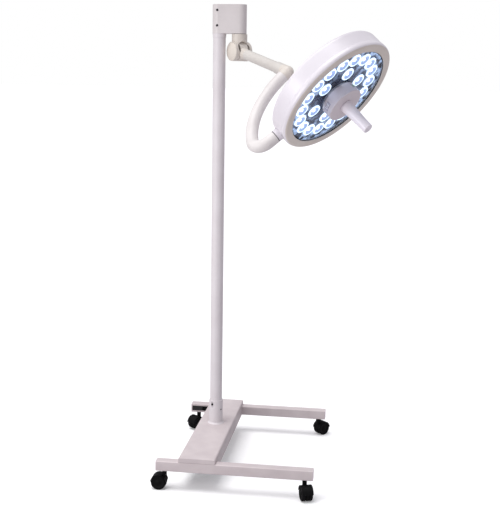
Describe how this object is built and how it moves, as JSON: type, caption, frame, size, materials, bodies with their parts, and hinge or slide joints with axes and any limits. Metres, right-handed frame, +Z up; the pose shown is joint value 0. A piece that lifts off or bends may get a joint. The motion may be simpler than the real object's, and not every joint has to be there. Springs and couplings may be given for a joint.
{
  "type": "surgical light",
  "caption": "Mobile surgical light: wheeled H-base, pole with a swivel bracket, tilting arm, single-sided yoke and a round LED lamp head with a centre handle.",
  "frame": {"origin": "on the floor under the axis of the pole", "axes": "+Z up along the pole, +X along the base rails towards their long ends, +Y towards the rail nearer the pole"},
  "size_m": [0.8667, 1.044, 1.883],
  "materials": {
    "base_paint": "satin powder coat, pinkish grey",
    "stand_paint": "satin powder coat, warm white",
    "bracket_paint": "satin powder coat, warm grey white",
    "arm_paint": "satin powder coat, cream",
    "arm_casting": "painted aluminium casting, cream",
    "shell_plastic": "moulded shell, satin lavender white",
    "ring_plastic": "moulded bezel, warm white",
    "black_nylon": "moulded black nylon",
    "wheel_rubber": "black tread",
    "dark_bush": "acetal",
    "cap_plastic": "moulded cap",
    "steel": "machined steel",
    "screw_black": "black oxide",
    "supply_case": "zinc plated sheet",
    "cable_jacket": "cable jacket",
    "window_clear": "clear acrylic",
    "gasket_rubber": "black gasket",
    "heat_sink_metal": "anodised aluminium",
    "led_board": "white solder mask",
    "lens_mask": "dark slate reflector plate",
    "lens_clear": "moulded clear lens",
    "board_green": "circuit board",
    "hub_plastic": "moulded hub, satin",
    "keypad_grey": "keypad bezel",
    "key_white": "key cap",
    "key_green": "key cap, green",
    "handle_plastic": "sterilisable handle"
  },
  "bodies": {
    "stand": {"rail_front": "base_paint", "rail_back": "base_paint", "rail_end_caps": "cap_plastic", "cross_channel": "base_paint", "pole_socket": "stand_paint", "socket_screws": "screw_black", "caster_sockets": "black_nylon", "pole": "stand_paint", "pole_collar": "stand_paint", "bracket_housing": "bracket_paint", "bracket_cap": "bracket_paint", "bracket_screws": "screw_black", "swivel_bushes": "dark_bush", "power_supply": "supply_case", "mains_inlet": "black_nylon", "pole_cable": "cable_jacket"},
    "knuckle": {"knuckle_fork": "arm_casting", "spigot_nut": "steel", "hinge_pin": "steel", "friction_washers": "dark_bush", "knuckle_caps": "cap_plastic"},
    "arm": {"arm_lug": "arm_casting", "arm_tube": "arm_paint", "arm_collar": "arm_paint", "yoke_bush": "dark_bush"},
    "yoke": {"yoke_elbow": "arm_casting", "yoke_tube": "arm_paint", "pivot_shaft": "steel", "pivot_seal": "dark_bush"},
    "head": {"back_shell": "shell_plastic", "front_ring": "ring_plastic", "window": "window_clear", "window_gasket": "gasket_rubber", "heat_sink": "heat_sink_metal", "led_boards": "led_board", "lens_plate": "lens_mask", "lenses": "lens_clear", "driver_board": "board_green", "hub_housing": "hub_plastic", "hub_face": "hub_plastic", "keypads": "keypad_grey", "pivot_bush": "dark_bush", "handle_socket": "steel"},
    "handle": {"handle_grip": "handle_plastic"},
    "dim_up": {"key_dim_up": "key_white"},
    "dim_down": {"key_dim_down": "key_white"},
    "power": {"key_power": "key_green"},
    "mode": {"key_mode": "key_white"},
    "caster_fl": {"caster_fl_frame": "black_nylon", "caster_fl_axle": "steel"},
    "wheels_fl": {"caster_fl_wheels": "wheel_rubber"},
    "caster_fr": {"caster_fr_frame": "black_nylon", "caster_fr_axle": "steel"},
    "wheels_fr": {"caster_fr_wheels": "wheel_rubber"},
    "caster_bl": {"caster_bl_frame": "black_nylon", "caster_bl_axle": "steel"},
    "wheels_bl": {"caster_bl_wheels": "wheel_rubber"},
    "caster_br": {"caster_br_frame": "black_nylon", "caster_br_axle": "steel"},
    "wheels_br": {"caster_br_wheels": "wheel_rubber"}
  },
  "joints": [
    {"name": "swivel_fl", "type": "hinge", "parent": "stand", "child": "caster_fl", "pos_m": [-0.13, -0.42, 0.06], "axis": [0, 0, 1], "continuous": true},
    {"name": "roll_fl", "type": "hinge", "parent": "caster_fl", "child": "wheels_fl", "pos_m": [-0.152, -0.42, 0.0295], "axis": [0, -1, 0], "continuous": true},
    {"name": "swivel_fr", "type": "hinge", "parent": "stand", "child": "caster_fr", "pos_m": [0.42, -0.42, 0.06], "axis": [0, 0, 1], "continuous": true},
    {"name": "roll_fr", "type": "hinge", "parent": "caster_fr", "child": "wheels_fr", "pos_m": [0.42752, -0.44067, 0.0295], "axis": [0.9397, 0.342, 0], "continuous": true},
    {"name": "swivel_bl", "type": "hinge", "parent": "stand", "child": "caster_bl", "pos_m": [-0.13, 0.3, 0.06], "axis": [0, 0, 1], "continuous": true},
    {"name": "roll_bl", "type": "hinge", "parent": "caster_bl", "child": "wheels_bl", "pos_m": [-0.14262, 0.28198, 0.0295], "axis": [0.8192, -0.5736, 0], "continuous": true},
    {"name": "swivel_br", "type": "hinge", "parent": "stand", "child": "caster_br", "pos_m": [0.42, 0.3, 0.06], "axis": [0, 0, 1], "continuous": true},
    {"name": "roll_br", "type": "hinge", "parent": "caster_br", "child": "wheels_br", "pos_m": [0.43556, 0.31556, 0.0295], "axis": [-0.7071, 0.7071, 0], "continuous": true},
    {"name": "arm_swivel", "type": "hinge", "parent": "stand", "child": "knuckle", "pos_m": [0.082, 0, 1.699], "axis": [0, 0, 1], "range_deg": [-80, 175]},
    {"name": "arm_tilt", "type": "hinge", "parent": "knuckle", "child": "arm", "pos_m": [0.082, 0, 1.699], "axis": [-0.7513, -0.66, 0], "range_deg": [-31, 35]},
    {"name": "yoke_swivel", "type": "hinge", "parent": "arm", "child": "yoke", "pos_m": [0.30396, -0.25265, 1.61764], "axis": [0.6415, -0.7302, -0.2351], "range_deg": [-160, 160]},
    {"name": "head_tilt", "type": "hinge", "parent": "yoke", "child": "head", "pos_m": [0.48358, -0.4571, 1.5518], "axis": [-0.7378, -0.2376, -0.6318], "range_deg": [-150, 150]},
    {"name": "handle_twist", "type": "hinge", "parent": "head", "child": "handle", "pos_m": [0.48358, -0.4571, 1.5518], "axis": [0.6694, -0.3784, -0.6393], "range_deg": [0, 90]},
    {"name": "press_dim_up", "type": "slide", "parent": "head", "child": "dim_up", "axis": [0.6604, 0.6972, 0.2788], "range_m": [0, 0.0008], "stiffness_N_per_m": 900},
    {"name": "press_dim_down", "type": "slide", "parent": "head", "child": "dim_down", "axis": [0.6604, 0.6972, 0.2788], "range_m": [0, 0.0008], "stiffness_N_per_m": 900},
    {"name": "press_power", "type": "slide", "parent": "head", "child": "power", "axis": [-0.6249, 0.1787, -0.76], "range_m": [0, 0.0008], "stiffness_N_per_m": 900},
    {"name": "press_mode", "type": "slide", "parent": "head", "child": "mode", "axis": [-0.6249, 0.1787, -0.76], "range_m": [0, 0.0008], "stiffness_N_per_m": 900}
  ]
}
